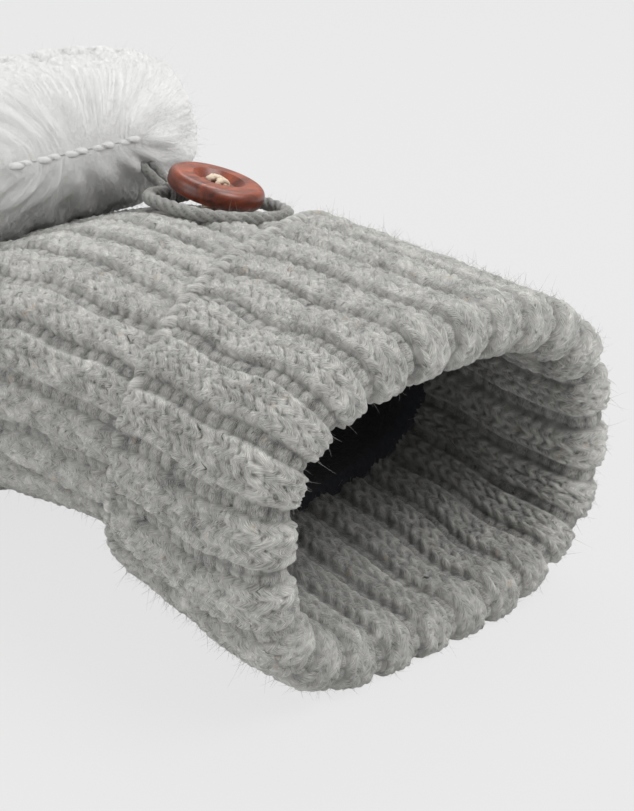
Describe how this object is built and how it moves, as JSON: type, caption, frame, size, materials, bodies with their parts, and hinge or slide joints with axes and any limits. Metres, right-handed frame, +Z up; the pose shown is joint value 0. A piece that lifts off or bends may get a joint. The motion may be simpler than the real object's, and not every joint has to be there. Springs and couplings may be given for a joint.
{
  "type": "convertible flip-top mitten",
  "caption": "Ribbed wool mitten with a turned-back cuff, open finger stubs and a flip cap that folds back and buttons to the back of the hand.",
  "frame": {"origin": "on the table, on the flat that the underside of the turned-back cuff rests on, 8 mm in from the mouth", "axes": "+X from the wrist to the fingers, +Y towards the thumb, +Z up from the palm to the back of the hand"},
  "size_m": [0.179, 0.1331, 0.0829],
  "materials": {
    "ragg_wool": "marled grey wool, ribbed knit, hairy",
    "pale_wool": "off-white brushed wool knit",
    "fleece": "blue-black brushed fleece",
    "grey_cord": "twisted wool cord",
    "cream_thread": "waxed sewing thread",
    "wood": "reddish-brown stained and oiled"
  },
  "bodies": {
    "hand": {"turned_cuff": "ragg_wool", "wrist_rib": "ragg_wool", "cuff_edge": "ragg_wool", "hand_shell": "ragg_wool", "hand_lining": "fleece", "thumb_sheath": "ragg_wool", "thumb_seam": "ragg_wool", "side_seam": "ragg_wool", "finger_web": "ragg_wool", "finger_stub_index": "ragg_wool", "finger_stub_middle": "ragg_wool", "finger_stub_ring": "ragg_wool", "finger_stub_little": "ragg_wool", "stub_bind_offs": "ragg_wool"},
    "cap": {"cap_shell": "pale_wool", "cap_band": "pale_wool", "hinge_seam": "pale_wool", "loop_tack": "grey_cord"},
    "loop": {"button_loop": "grey_cord"},
    "shank": {"button_shank": "cream_thread"},
    "button": {"button_disc": "wood", "button_thread": "cream_thread"}
  },
  "joints": [
    {"name": "cap_flip", "type": "hinge", "parent": "hand", "child": "cap", "pos_m": [0.147, 0, 0.0389], "axis": [0, 1, 0], "range_deg": [0, 163]},
    {"name": "loop_lift", "type": "hinge", "parent": "cap", "child": "loop", "pos_m": [0.08778, -0.02017, 0.0599], "axis": [0, 0.9848, 0.1736], "range_deg": [0, 95]},
    {"name": "button_tilt", "type": "hinge", "parent": "hand", "child": "shank", "pos_m": [0.076, -0.019, 0.0585], "axis": [0, 1, 0], "range_deg": [-4, 8], "stiffness_Nm_per_rad": 0.002},
    {"name": "button_twist", "type": "hinge", "parent": "shank", "child": "button", "pos_m": [0.076, -0.019, 0.0585], "axis": [-0.1736, -0.2215, 0.9596], "range_deg": [-45, 45], "stiffness_Nm_per_rad": 0.0005}
  ]
}
